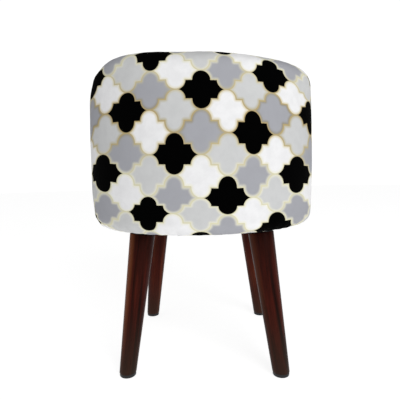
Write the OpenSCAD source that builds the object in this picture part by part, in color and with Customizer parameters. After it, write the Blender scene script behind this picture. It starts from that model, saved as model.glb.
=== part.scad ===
// Round upholstered footstool on four splayed, tapered wooden legs.
// A hardboard-walled drum between two plywood discs is padded, covered in cloth and lined below.
// Each leg is held by a hanger bolt in an angled steel plate and ends in a nailed plastic glide.
// Frame: floor at z = 0, drum axis on Z, front of the stool towards -Y.

/* [Seat drum] */
// Widest outside diameter of the covered drum
drum_d = 360; // [300:1:440]
// Height of the drum from its underside to the crown
drum_h = 243; // [200:1:300]
// Radius of the domed crown
crown_r = 950; // [700:10:1500]
// Radius of the slightly bowed side, seen in section
side_r = 2000; // [1500:50:4000]
// Height of the widest line above the underside
widest_h = 116; // [90:1:130]
// Rounding of the shoulder between crown and side
shoulder_r = 22; // [16:1:28]
// Rounding of the lower edge
lower_edge_r = 18; // [14:1:22]

/* [Cover and lining] */
// Thickness of the printed cover cloth
cloth_t = 1.2; // [0.8:0.1:1.6]
// Distance inwards from the drum's side to the seam between crown disc and side band
crown_seam_inset = 30; // [26:1:60]
// Width of the hem that is turned under the base board
hem_w = 9.5; // [8:0.5:10]
// Thickness of the non-woven lining under the base
lining_t = 0.5; // [0.3:0.1:0.7]
// Distance from the edge of the base board to the edge of the lining
lining_margin = 2; // [1.5:0.5:2.5]

/* [Padding] */
// Thickness of the seat pad at its centre
pad_t = 50; // [40:1:60]
// Thickness of the foam round the wall, at the drum's widest line
side_pad_t = 15; // [10:0.5:20]

/* [Boards and wall] */
// Thickness of the base board
base_t = 15; // [15:1:21]
// Thickness of the top board
top_t = 12; // [9:1:18]
// Rounding of the lower edge of the base board
board_edge_r = 4; // [2:0.5:5]
// Thickness of the hardboard wall
wall_t = 3; // [2.5:0.1:4]
// Height of the wall's lower edge above the underside of the base board
wall_lift = 5; // [5:0.5:7]
// Width of the butt joint where the ends of the wall meet at the back
wall_joint_w = 0.8; // [0.5:0.1:2]

/* [Posts] */
// Width of each square wooden post inside the drum
post_w = 30; // [24:1:36]
// Distance from the edge of the boards to each post's centre
post_inset = 35; // [32:1:60]

/* [Legs] */
// Height of the drum's underside above the floor
under_h = 212; // [150:1:260]
// Distance from the edge of the boards to each leg's axis, at the underside
leg_inset = 37.5; // [37:0.5:50]
// Outward splay of each leg from the vertical
leg_splay = 9.5; // [5:0.5:11]
// Diameter of the leg at its top
leg_top_d = 37; // [30:1:38]
// Diameter of the leg at the floor
leg_foot_d = 24; // [20:1:29]
// Chamfer round the top of the leg
leg_chamfer = 1; // [0.5:0.5:2]

/* [Leg plates] */
// Width of the square steel plate
plate_w = 52; // [48:1:52]
// Corner radius of the plate
plate_corner_r = 9; // [8:1:12]
// Thickness of the pressed steel
plate_t = 2.5; // [1.5:0.5:2.5]
// Diameter of the angled boss that the leg seats on
boss_d = 34; // [30:1:36]
// Distance along the leg's axis from the drum's underside to the boss's seat
boss_h = 9; // [8.5:0.5:12]
// Width across the flats of the nut welded in the boss
nut_af = 13; // [12:1:14]
// Height of the nut
nut_h = 5.5; // [4:0.5:5.5]
// Spacing of the four screw holes
plate_hole_pitch = 38; // [36:1:38]

/* [Floor glides] */
// Diameter of the plastic glide under each foot
glide_d = 23.4; // [19:0.2:28]
// Thickness of the glide
glide_t = 5; // [4:0.5:8]
// Rounding of the glide's lower edge
glide_edge_r = 1; // [0.5:0.1:1.5]

/* [Fasteners] */
// Diameter of the hanger bolt
bolt_d = 8; // [6:1:8]
// Depth of the hanger bolt in the leg
bolt_in = 40; // [25:1:50]
// Length of the hanger bolt above the top of the leg
bolt_out = 15; // [12:1:16]
// Depth of the board's clearance hole over each bolt
bolt_hole_depth = 9; // [8:1:11]
// Diameter of the board's clearance hole over each bolt
bolt_hole_d = 15; // [14:1:18]
// Diameter of the wood screws
screw_d = 4; // [3:0.5:4.5]
// Head diameter of the wood screws
screw_head_d = 8; // [6:0.5:8]
// Length of the leg plate screws under the head
plate_screw_l = 14; // [10:1:15]
// Height of the pan heads of the leg plate screws
pan_head_h = 2.2; // [1.6:0.2:2.8]
// Length of the countersunk post screws
post_screw_l = 45; // [35:1:60]
// Height of the countersunk heads
sunk_head_h = 2.4; // [2:0.2:3]
// Number of tacks round each board
tacks = 12; // [6:1:24]
// Diameter of the tacks
tack_d = 1.6; // [1.2:0.1:2]
// Diameter of the tack heads
tack_head_d = 4.4; // [3.5:0.1:5]
// Thickness of the tack heads
tack_head_t = 0.8; // [0.5:0.1:1]
// Length of the tacks
tack_l = 14; // [10:1:18]
// Depth of the tack heads below the wall's outer face
tack_sink = 0.2; // [0.1:0.1:0.5]
// Distance from the top face of the base board down to its tacks
tack_drop = 6; // [5:0.5:8]
// Number of staples that hold the hem of the cover
hem_staples = 28; // [12:1:32]
// Distance from the hem's inner edge to its staples
hem_staple_inset = 2.8; // [2:0.1:3.5]
// Number of staples that hold the lining
lining_staples = 20; // [12:1:24]
// Distance from the lining's edge to its staples
lining_staple_inset = 1.8; // [1.5:0.1:2]
// Width of the staples
staple_w = 9; // [6:0.5:10]
// Length of the staple legs
staple_l = 7; // [5:0.5:9]
// Thickness of the staple wire
staple_wire = 0.6; // [0.5:0.1:0.7]
// Diameter of the nail that holds each glide
nail_d = 2.4; // [1.8:0.1:3]
// Depth of the nail in the leg
nail_in = 16; // [10:1:24]
// Head diameter of the glide nail
nail_head_d = 6; // [5:0.5:7]
// Thickness of the nail head
nail_head_t = 1.2; // [0.8:0.1:1.5]
// Depth of the nail head's recess in the glide
nail_recess = 2.2; // [2:0.1:3]

/* [Clearances] */
// Clearance round screws, bolts, nails and tacks
fit_gap = 0.15; // [0.1:0.05:0.2]
// Clearance between padding, cover and wall
soft_gap = 0.3; // [0.2:0.1:0.4]
// Clearance round the staples
staple_gap = 0.1; // [0.05:0.05:0.15]

/* [Hidden] */

$fn = 96;
// Sides drawn for the boards and for small round parts
wide_fn = 180;
small_fn = 24;
// Steps along the short and the long arcs of the drum's section
short_steps = 8;
long_steps = 10;
// A little more than any cut needs, so that cut faces never coincide
over = 1;
big = 2 * (drum_d + drum_h + under_h);

// Directions of the four legs and of the four posts, anticlockwise from +X
leg_angle = [225, 315, 135, 45];
post_angle = [270, 180, 90, 0];

// Radii from the outside inwards: cover, side foam, wall, boards
wall_out_r = drum_d / 2 - cloth_t - 2 * soft_gap - side_pad_t;
wall_in_r = wall_out_r - wall_t;
board_r = wall_in_r - soft_gap;
crown_seam_r = drum_d / 2 - crown_seam_inset;
hem_in_r = board_r - hem_w;
lining_r = board_r - lining_margin;
leg_circle_r = board_r - leg_inset;
post_circle_r = board_r - post_inset;
hem_staple_r = hem_in_r + hem_staple_inset;
lining_staple_r = lining_r - lining_staple_inset;
tack_head_r = wall_out_r - tack_sink;

// Heights above the underside, in the drum's own frame
board_z = cloth_t;
base_top_z = board_z + base_t;
pad_z = drum_h - cloth_t - soft_gap - pad_t;
top_board_z = pad_z - top_t;
wall_z = board_z + wall_lift;
plate_top_z = board_z - lining_t;
plate_under_z = plate_top_z - plate_t;
leg_axis_l = under_h / cos(leg_splay);
foot_x = (under_h - glide_t) * tan(leg_splay);
// Depth of the plate screws' holes in the base board
pilot_depth = plate_screw_l - plate_t - lining_t + fit_gap;

base_tack_z = base_top_z - tack_drop;
top_tack_z = top_board_z + top_t / 2;

// Points of an arc in section, from angle a0 to a1, without its first point
function arc_points(x, z, r, a0, a1, steps) =
    [for (k = [1:steps]) let(a = a0 + (a1 - a0) * k / steps) [x + r * cos(a), z + r * sin(a)]];

// Centre of a circle of radius r that lies inside both the crown and the side, touching each
function shoulder_centre(r) =
    let(xs = drum_d / 2 - side_r,
        zc = drum_h - crown_r,
        a = crown_r - r,
        b = side_r - r,
        dx = xs,
        dz = widest_h - zc,
        d = norm([dx, dz]),
        along = (a * a - b * b + d * d) / (2 * d),
        up = sqrt(a * a - along * along))
    [(along * dx + up * dz) / d, zc + (along * dz - up * dx) / d];

// Half section of the drum, drawn in by t all round: base, lower edge, side, shoulder, crown
function drum_section(t) =
    let(xs = drum_d / 2 - side_r,
        zc = drum_h - crown_r,
        top = shoulder_centre(shoulder_r),
        low_z = lower_edge_r,
        low_x = xs + sqrt(pow(side_r - lower_edge_r, 2) - pow(low_z - widest_h, 2)),
        low_a = atan2(low_z - widest_h, low_x - xs),
        side_a = atan2(top[1] - widest_h, top[0] - xs),
        crown_a = atan2(top[1] - zc, top[0]))
    concat([[0, t], [low_x, t]],
        arc_points(low_x, low_z, lower_edge_r - t, -90, low_a, short_steps),
        arc_points(xs, widest_h, side_r - t, low_a, side_a, long_steps),
        arc_points(top[0], top[1], shoulder_r - t, side_a, crown_a, short_steps),
        arc_points(0, zc, crown_r - t, crown_a, 90, long_steps));

// The drum's own frame has its origin in the middle of the underside
module drum_frame() {
    translate([0, 0, under_h]) children();
}

// Place of leg i: origin on the underside plane, +X pointing away from the drum's axis
module leg_station(i) {
    drum_frame() rotate([0, 0, leg_angle[i]]) translate([leg_circle_r, 0, 0]) children();
}

// Turns a child so that its -Z runs down along the splayed leg
module along_leg() {
    rotate([0, -leg_splay, 0]) children();
}

module post_station(i) {
    drum_frame() rotate([0, 0, post_angle[i]]) translate([post_circle_r, 0, 0]) children();
}

// Copies the children at each of n even steps round the drum's axis, at radius r
module round_drum(n, r, start = 0) {
    for (k = [0:n - 1])
        rotate([0, 0, start + 360 * k / n]) translate([r, 0, 0]) children();
}

// Copies the children at the four screw holes of a leg plate
module at_plate_holes() {
    for (sx = [-1, 1])
        for (sy = [-1, 1])
            translate([sx * plate_hole_pitch / 2, sy * plate_hole_pitch / 2, 0]) children();
}

// A staple with its crown along Y and its legs upwards, swollen by g for its slot
module staple(g = 0) {
    w = staple_wire + 2 * g;
    translate([-w / 2, -staple_w / 2 - g, -g]) cube([w, staple_w + 2 * g, w]);
    for (s = [-1, 1])
        translate([-w / 2, s * (staple_w - staple_wire) / 2 - w / 2, -g]) cube([w, w, staple_l + 2 * g]);
}

// The hem's staples are pressed flush into the cloth, and lie under the lining
module hem_staple_ring(g = 0) {
    round_drum(hem_staples, hem_staple_r) staple(g);
}

// The lining's staples lie on its lower face
module lining_staple_ring(g = 0) {
    round_drum(lining_staples, lining_staple_r, 180 / lining_staples)
        translate([0, 0, -lining_t - staple_wire]) staple(g);
}

// A tack with its head outwards along +X, at the outside of the wall
module tack(g = 0) {
    rotate([0, 90, 0]) {
        translate([0, 0, tack_head_r - tack_head_t - g])
            cylinder(d = tack_head_d + 2 * g, h = tack_head_t + g + (g > 0 ? over : 0), $fn = small_fn);
        translate([0, 0, tack_head_r - tack_l - g])
            cylinder(d = tack_d + 2 * g, h = tack_l - tack_head_t / 2 + g, $fn = small_fn);
    }
}

module tack_ring(g = 0) {
    for (z = [base_tack_z, top_tack_z])
        translate([0, 0, z]) round_drum(tacks, 0, 180 / tacks) tack(g);
}

// A countersunk screw with its head flush at z = 0 and its point upwards
module sunk_screw(g = 0) {
    translate([0, 0, g > 0 ? -over : 0])
        cylinder(d = screw_d + 2 * g, h = post_screw_l + 2 * g + (g > 0 ? over : 0), $fn = small_fn);
    cylinder(d1 = screw_head_d + 2 * g, d2 = screw_d + 2 * g, h = sunk_head_h, $fn = small_fn);
}

// One screw up through the base board and one down through the top board into each post
module post_screw_pair(g = 0) {
    translate([0, 0, board_z]) sunk_screw(g);
    translate([0, 0, pad_z]) mirror([0, 0, 1]) sunk_screw(g);
}

// A tapered round leg, square at the top and cut level with the floor at the foot
module leg(i) {
    top_r = leg_top_d / 2;
    foot_r = leg_foot_d / 2;
    run = leg_axis_l - boss_h;
    past = foot_r;
    past_r = foot_r - past * (top_r - foot_r) / run;
    color("#4a1d16") leg_station(i) difference() {
        along_leg() rotate_extrude()
            polygon([
                [0, -boss_h],
                [top_r - leg_chamfer, -boss_h],
                [top_r, -boss_h - leg_chamfer],
                [foot_r, -leg_axis_l],
                [past_r, -leg_axis_l - past],
                [0, -leg_axis_l - past]
            ]);
        translate([-big / 2, -big / 2, glide_t - under_h - big]) cube(big);
        along_leg() translate([0, 0, -boss_h - bolt_in - fit_gap])
            cylinder(d = bolt_d + 2 * fit_gap, h = bolt_in + fit_gap + over);
        translate([foot_x, 0, glide_t - under_h - over])
            cylinder(d = nail_d + 2 * fit_gap, h = nail_in + fit_gap + over, $fn = small_fn);
    }
}

// Pressed steel plate with an angled boss, a welded nut and four screw holes
module leg_plate(i) {
    side = plate_w - 2 * plate_corner_r;
    color("#8d9094") leg_station(i) difference() {
        union() {
            translate([0, 0, plate_under_z]) linear_extrude(plate_t) union() {
                square([plate_w, side], center = true);
                square([side, plate_w], center = true);
                for (sx = [-1, 1])
                    for (sy = [-1, 1])
                        translate([sx * side / 2, sy * side / 2]) circle(plate_corner_r);
            }
            intersection() {
                along_leg() translate([0, 0, -boss_h]) cylinder(d = boss_d, h = 2 * boss_h);
                translate([-big / 2, -big / 2, plate_top_z - big]) cube(big);
            }
        }
        difference() {
            along_leg() translate([0, 0, plate_t - boss_h])
                cylinder(d = boss_d - 2 * plate_t, h = 3 * boss_h);
            along_leg() translate([0, 0, plate_t - boss_h - over])
                cylinder(d = nut_af / cos(30), h = nut_h + over, $fn = 6);
        }
        along_leg() translate([0, 0, -boss_h - over])
            cylinder(d = bolt_d + 2 * fit_gap, h = 3 * boss_h);
        at_plate_holes() translate([0, 0, plate_under_z - over])
            cylinder(d = screw_d + 2 * fit_gap, h = plate_t + 2 * over, $fn = small_fn);
    }
}

// Round plastic pad under the foot, with a recess for its nail
module glide(i) {
    r = glide_d / 2;
    color("#151515") leg_station(i) translate([foot_x, 0, -under_h]) difference() {
        rotate_extrude() union() {
            translate([0, glide_edge_r]) square([r, glide_t - glide_edge_r]);
            square([r - glide_edge_r, glide_t]);
            translate([r - glide_edge_r, glide_edge_r]) circle(glide_edge_r, $fn = small_fn);
        }
        translate([0, 0, -over])
            cylinder(d = nail_head_d + 2 * soft_gap, h = nail_recess + over, $fn = small_fn);
        cylinder(d = nail_d + 2 * fit_gap, h = glide_t + over, $fn = small_fn);
    }
}

module glide_nails() {
    color("#9a9a98") for (i = [0:3])
        leg_station(i) translate([foot_x, 0, nail_recess - under_h]) {
            cylinder(d = nail_d, h = glide_t - nail_recess + nail_in, $fn = small_fn);
            translate([0, 0, -nail_head_t]) cylinder(d = nail_head_d, h = nail_head_t, $fn = small_fn);
        }
}

module hanger_bolts() {
    color("#b8b5a8") for (i = [0:3])
        leg_station(i) along_leg() translate([0, 0, -boss_h - bolt_in])
            cylinder(d = bolt_d, h = bolt_in + bolt_out);
}

module plate_screws() {
    color("#b8b5a8") for (i = [0:3])
        leg_station(i) at_plate_holes() translate([0, 0, plate_under_z]) {
            cylinder(d = screw_d, h = plate_screw_l, $fn = small_fn);
            mirror([0, 0, 1])
                cylinder(d1 = screw_head_d, d2 = screw_head_d - pan_head_h, h = pan_head_h, $fn = small_fn);
        }
}

module post(i) {
    color("#c9a878") post_station(i) difference() {
        translate([-post_w / 2, -post_w / 2, base_top_z]) cube([post_w, post_w, top_board_z - base_top_z]);
        post_screw_pair(fit_gap);
    }
}

module post_screws() {
    color("#b8b5a8") for (i = [0:3])
        post_station(i) post_screw_pair();
}

module wall_tacks() {
    color("#9a9a98") drum_frame() tack_ring();
}

module hem_staples_group() {
    color("#c4c4c0") drum_frame() hem_staple_ring();
}

module lining_staples_group() {
    color("#c4c4c0") drum_frame() lining_staple_ring();
}

// Plywood disc that carries the legs, with its lower edge rounded for the cloth
module base_board() {
    color("#cba878") difference() {
        drum_frame() translate([0, 0, board_z]) rotate_extrude() union() {
            translate([0, board_edge_r]) square([board_r, base_t - board_edge_r]);
            square([board_r - board_edge_r, base_t]);
            translate([board_r - board_edge_r, board_edge_r]) circle(board_edge_r);
        }
        for (i = [0:3]) {
            leg_station(i) translate([0, 0, board_z - over])
                cylinder(d = bolt_hole_d, h = bolt_hole_depth + over);
            leg_station(i) at_plate_holes() translate([0, 0, board_z - over])
                cylinder(d = screw_d + 2 * fit_gap, h = pilot_depth + over, $fn = small_fn);
            post_station(i) post_screw_pair(fit_gap);
        }
        drum_frame() {
            tack_ring(fit_gap);
            hem_staple_ring(staple_gap);
            lining_staple_ring(staple_gap);
        }
    }
}

// Plywood disc under the seat pad
module top_board() {
    color("#cba878") difference() {
        drum_frame() translate([0, 0, top_board_z]) cylinder(r = board_r, h = top_t, $fn = wide_fn);
        for (i = [0:3])
            post_station(i) post_screw_pair(fit_gap);
        drum_frame() tack_ring(fit_gap);
    }
}

// Hardboard bent round the two discs, with a butt joint at the back
module wall_panel() {
    color("#8a6440") drum_frame() difference() {
        translate([0, 0, wall_z]) rotate_extrude($fn = wide_fn)
            translate([wall_in_r, 0]) square([wall_t, pad_z - wall_z]);
        translate([-wall_joint_w / 2, 0, 0]) cube([wall_joint_w, big, big]);
        tack_ring(fit_gap);
    }
}

// Foam wrapped round the wall, filling the cover down to the rounded lower edge
module side_padding() {
    color("#efe6c4") drum_frame() rotate_extrude() intersection() {
        polygon(drum_section(cloth_t + soft_gap));
        translate([wall_out_r + soft_gap, 0]) square([drum_d, pad_z]);
    }
}

// Crowned foam pad that rests on the top board, the wall's rim and the side padding
module seat_pad() {
    color("#efe6c4") drum_frame() rotate_extrude() intersection() {
        polygon(drum_section(cloth_t + soft_gap));
        translate([0, pad_z]) square(drum_d);
    }
}

// Side band of the cover: from the crown seam over the shoulder, down and under to the hem
module cover_side() {
    color("#c9c9cd") drum_frame() difference() {
        rotate_extrude() difference() {
            polygon(drum_section(0));
            polygon(drum_section(cloth_t));
            translate([0, pad_z]) square([crown_seam_r + soft_gap / 2, drum_h]);
            translate([0, -over]) square([hem_in_r, cloth_t + 2 * over]);
        }
        hem_staple_ring(staple_gap);
        lining_staple_ring(staple_gap);
    }
}

// Round crown piece of the cover
module cover_crown() {
    color("#d6d6da") drum_frame() rotate_extrude() intersection() {
        difference() {
            polygon(drum_section(0));
            polygon(drum_section(cloth_t));
        }
        translate([0, pad_z]) square([crown_seam_r - soft_gap / 2, drum_h]);
    }
}

// Non-woven lining, drawn flat on the board and stepping down over the hem
module lining() {
    step_r = hem_in_r - soft_gap;
    color("#1c1c1e") difference() {
        drum_frame() rotate_extrude()
            polygon([
                [0, board_z - lining_t],
                [step_r - lining_t, board_z - lining_t],
                [step_r - lining_t, -lining_t],
                [lining_r, -lining_t],
                [lining_r, 0],
                [step_r, 0],
                [step_r, board_z],
                [0, board_z]
            ]);
        for (i = [0:3]) {
            leg_station(i) translate([0, 0, -over]) cylinder(d = bolt_hole_d, h = board_z + 2 * over);
            leg_station(i) at_plate_holes() translate([0, 0, -over])
                cylinder(d = screw_d + 2 * fit_gap, h = board_z + 2 * over, $fn = small_fn);
        }
        drum_frame() lining_staple_ring(staple_gap);
    }
}

leg(0);  // leg_front_left
leg(1);  // leg_front_right
leg(2);  // leg_back_left
leg(3);  // leg_back_right
leg_plate(0);  // leg_plate_front_left
leg_plate(1);  // leg_plate_front_right
leg_plate(2);  // leg_plate_back_left
leg_plate(3);  // leg_plate_back_right
glide(0);  // glide_front_left
glide(1);  // glide_front_right
glide(2);  // glide_back_left
glide(3);  // glide_back_right
post(0);  // post_front
post(1);  // post_left
post(2);  // post_back
post(3);  // post_right
hanger_bolts();
plate_screws();
glide_nails();
post_screws();
wall_tacks();
hem_staples_group();
lining_staples_group();
base_board();
top_board();
wall_panel();
side_padding();
seat_pad();
cover_side();
cover_crown();
lining();
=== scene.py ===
"""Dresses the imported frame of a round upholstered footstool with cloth, foam, wood, steel and plastic."""
from math import atan2, copysign, cos, degrees, exp, hypot, pi, radians, sin, sqrt, tan, tanh

import bmesh
import bpy
from mathutils import Matrix, Vector, kdtree, noise


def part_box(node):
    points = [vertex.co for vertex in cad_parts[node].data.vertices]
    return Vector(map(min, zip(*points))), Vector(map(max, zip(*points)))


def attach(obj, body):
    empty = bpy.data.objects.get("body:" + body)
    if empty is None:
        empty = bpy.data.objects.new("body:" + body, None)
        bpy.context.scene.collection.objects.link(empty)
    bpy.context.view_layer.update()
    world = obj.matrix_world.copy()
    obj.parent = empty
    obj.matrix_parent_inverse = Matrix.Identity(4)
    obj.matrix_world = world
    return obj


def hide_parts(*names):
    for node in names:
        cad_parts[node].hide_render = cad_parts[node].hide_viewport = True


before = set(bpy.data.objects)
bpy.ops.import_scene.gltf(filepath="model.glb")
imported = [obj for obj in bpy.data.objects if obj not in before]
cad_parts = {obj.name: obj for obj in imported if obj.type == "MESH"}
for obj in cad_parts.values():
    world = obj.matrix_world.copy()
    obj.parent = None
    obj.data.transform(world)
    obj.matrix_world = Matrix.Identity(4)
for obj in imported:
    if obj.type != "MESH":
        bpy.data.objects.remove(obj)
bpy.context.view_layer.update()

bl_info = {
    "name": "Upholstered footstool",
    "version": (1, 0, 0),
    "blender": (4, 5, 0),
    "location": "3D View > Sidebar > Footstool",
    "description": "Cloth, foam, wood, steel and plastic for the frame of a round footstool",
    "category": "Object",
}

MM = 0.001
TAU = 2 * pi
# Size of the finished stool without its loose cloth, from the frame
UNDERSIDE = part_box("cover_side")[0].z

# Corner of the stool that each leg stands at, anticlockwise from +X in degrees
LEG_TURN = {"front_left": 225, "front_right": 315, "back_left": 135, "back_right": 45}
# Radii of the holes for a leg's bolt and a glide's nail
BOLT_HOLE = 4.15 * MM
NAIL_HOLE = 1.35 * MM
# Way up the section at which the crown's print goes on from the side's
CROWN_WAY = 0.2505
# A point that faces which look down point away from
FAR_ABOVE = Vector((0, 0, 9))
WHITE = (1, 1, 1, 1)


def tint(code):
    """A colour given as six hexadecimal digits, as linear red, green and blue."""
    parts = [int(code[k:k + 2], 16) / 255 for k in (0, 2, 4)]
    return tuple(c / 12.92 if c <= 0.04045 else ((c + 0.055) / 1.055) ** 2.4 for c in parts)


def length(name, description, default, low=0.0, high=1.0):
    return bpy.props.FloatProperty(name=name, description=description, default=default * MM,
                                   min=low, max=high, precision=4, unit="LENGTH")


def colour(name, description, code):
    return bpy.props.FloatVectorProperty(name=name, description=description, default=tint(code),
                                         min=0.0, max=1.0, size=3, subtype="COLOR")


def number(name, description, default, low, high):
    return bpy.props.FloatProperty(name=name, description=description, default=default,
                                   min=low, max=high)


class FootstoolDrum(bpy.types.PropertyGroup):
    """Sizes of the padded drum, the same as in the frame."""
    width: length("Width", "Widest outside diameter of the covered drum", 360)
    height: length("Height", "Height from the underside to the crown", 243)
    crown_radius: length("Crown radius", "Radius of the domed crown", 950, high=3.0)
    side_radius: length("Side radius", "Radius of the bowed side in section", 2000, high=5.0)
    widest_height: length("Widest height", "Widest line above the underside", 116)
    shoulder_radius: length("Shoulder", "Rounding between crown and side", 22)
    edge_radius: length("Lower edge", "Rounding of the lower edge", 18)
    cloth: length("Cloth", "Thickness of the printed cloth", 1.2)
    ease: length("Ease", "Gap between padding, cover and wall", 0.3)
    seam: length("Crown seam", "Radius of the seam round the crown", 150)
    hem: length("Hem", "Radius of the hem's inner edge", 150.4)
    wall: length("Wall", "Outside radius of the hardboard wall", 163.2)
    pad: length("Pad height", "Seat pad's flat bottom above the underside", 191.5)
    board: length("Board height", "Base board above the underside", 1.2)
    lining: length("Lining", "Thickness of the lining", 0.5)
    lining_radius: length("Lining radius", "Radius of the lining's edge", 157.9)


class FootstoolPrint(bpy.types.PropertyGroup):
    """Colours and line of the quatrefoil trellis printed on the cover."""
    black: colour("Black", "Darkest motifs", "010101")
    middle: colour("Middle grey", "Middle grey motifs", "A6A7AD")
    white: colour("White", "White motifs", "EFEFF0")
    light: colour("Light grey", "Light grey motifs", "CDCECE")
    gold: colour("Gold", "Outline's core where it is darkest", "B4A174")
    straw: colour("Straw", "Outline's core where it is palest", "DCD8B8")
    cream: colour("Cream", "Outline's soft edge where it is darkest", "EADFBC")
    pale: colour("Pale cream", "Outline's soft edge where it is palest", "EFECD4")
    core: length("Outline core", "Half the width of the outline's core", 0.85)
    line: length("Outline", "Half the width of the outline with its soft edge", 4.7)
    thin: length("Outline on black", "Width of the outline on a black motif's side", 0.5)


class FootstoolLegs(bpy.types.PropertyGroup):
    """Sizes and colours of the turned legs, with their plates and glides."""
    circle: length("Leg circle", "Radius of the legs' circle at the underside", 122.4)
    splay: bpy.props.FloatProperty(name="Splay", description="Outward lean of each leg from the vertical",
                                   default=radians(9.5), subtype="ANGLE", unit="ROTATION")
    top_width: length("Top width", "Diameter of the leg at its top", 37)
    foot_width: length("Foot width", "Diameter of the leg at the floor", 24)
    seat: length("Seat", "Way along the axis from the underside to the leg's top", 9)
    glide_width: length("Glide width", "Diameter of the plastic glide", 23.4)
    glide_height: length("Glide height", "Thickness of the plastic glide", 5)
    plate_width: length("Plate width", "Width of the square steel plate", 52)
    plate_corner: length("Plate corner", "Corner radius of the steel plate", 9)
    plate_gauge: length("Plate gauge", "Thickness of the pressed steel", 2.5)
    boss_width: length("Boss width", "Diameter of the boss that the leg seats on", 34)
    hole_pitch: length("Hole pitch", "Spacing of the plate's four screws", 38)
    # The darkest wood colour, which is also mixed in as painted shade towards the top of each leg
    dark: colour("Dark wood", "Darkest streaks of the stained wood", "180704")
    red: colour("Red wood", "Reddish streaks of the stained wood", "48170E")
    warm: colour("Warm wood", "Lightest streaks of the stained wood", "6A321C")
    # Colour of a painted highlight: a paler, warmer streak down one side of each leg
    painted_highlight: colour("Painted highlight", "Paler streak down one side of each leg", "6C391E")
    dulled: colour("Dull wood", "Duller stain towards the foot", "30271F")


class FootstoolStage(bpy.types.PropertyGroup):
    """Floor, light and camera."""
    floor: colour("Floor", "Colour of the plain floor", "A8A8A8")
    sky: number("Surround", "Strength of the even light from all sides", 0.3, 0.0, 5.0)
    key: number("Key light", "Power of the large soft light in front, in watts", 30.0, 0.0, 500.0)
    rim: number("Side light", "Power of the soft light on the left, in watts", 0.4, 0.0, 500.0)
    lens: number("Lens", "Focal length of the camera, in millimetres", 31.32, 10.0, 200.0)


def feed(tree, socket, value):
    """Links a field or a node's output to a socket, or sets a plain value on it."""
    value = getattr(value, "out", value)
    if isinstance(value, bpy.types.NodeSocket):
        tree.links.new(value, socket)
    else:
        socket.default_value = value


def put_node(tree, kind, settings=(), **inputs):
    """A new node with its settings, and each named input fed."""
    node = tree.nodes.new(kind)
    for name, value in dict(settings).items():
        setattr(node, name, value)
    for name, value in inputs.items():
        feed(tree, node.inputs[name.replace("_", " ")], value)
    return node


def field_of(tree, kind, settings=(), **inputs):
    """A field from the first output of a new node."""
    return Field(tree, put_node(tree, kind, settings, **inputs).outputs[0])


def either_shader(tree, switch, first, second):
    """Shader first where switch is 0, and second where it is 1."""
    mix = put_node(tree, "ShaderNodeMixShader", Fac=switch)
    for socket, shader in zip(mix.inputs[1:], (first, second)):
        feed(tree, socket, shader.outputs[0])
    return mix.outputs[0]


def worked(operation):
    """A method of Field that does one operation of the Math node."""
    return lambda field, *others: field.math(operation, *others)


class Field:
    """A value in a material's node tree, on which sums are written as in plain Python."""

    def __init__(self, tree, out):
        self.tree = tree
        self.out = out

    def math(self, operation, *others):
        node = put_node(self.tree, "ShaderNodeMath", {"operation": operation})
        for socket, value in zip(node.inputs, (self, *others)):
            feed(self.tree, socket, value)
        return Field(self.tree, node.outputs[0])

    __add__, __sub__, __mul__, __truediv__ = map(worked, ("ADD", "SUBTRACT", "MULTIPLY", "DIVIDE"))
    below, floor, abs, root = map(worked, ("LESS_THAN", "FLOOR", "ABSOLUTE", "SQRT"))
    wrap, least, most = map(worked, ("FLOORED_MODULO", "MINIMUM", "MAXIMUM"))

    def __rsub__(self, other):
        return self.math("MULTIPLY_ADD", -1.0, other)

    def swapped(self, switch):
        """This value, or one less it where switch is 1."""
        return self + switch * (1.0 - self * 2.0)

    def eased(self, low, high, to_low=0.0, to_high=1.0):
        """This value turned smoothly from the range low..high to the range to_low..to_high."""
        return field_of(self.tree, "ShaderNodeMapRange", {"interpolation_type": "SMOOTHSTEP"}, Value=self,
                        From_Min=low, From_Max=high, To_Min=to_low, To_Max=to_high)


def opaque(shade):
    """A colour, or its six-digit code, with full opacity."""
    return (*(tint(shade) if isinstance(shade, str) else shade), 1.0)


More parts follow.
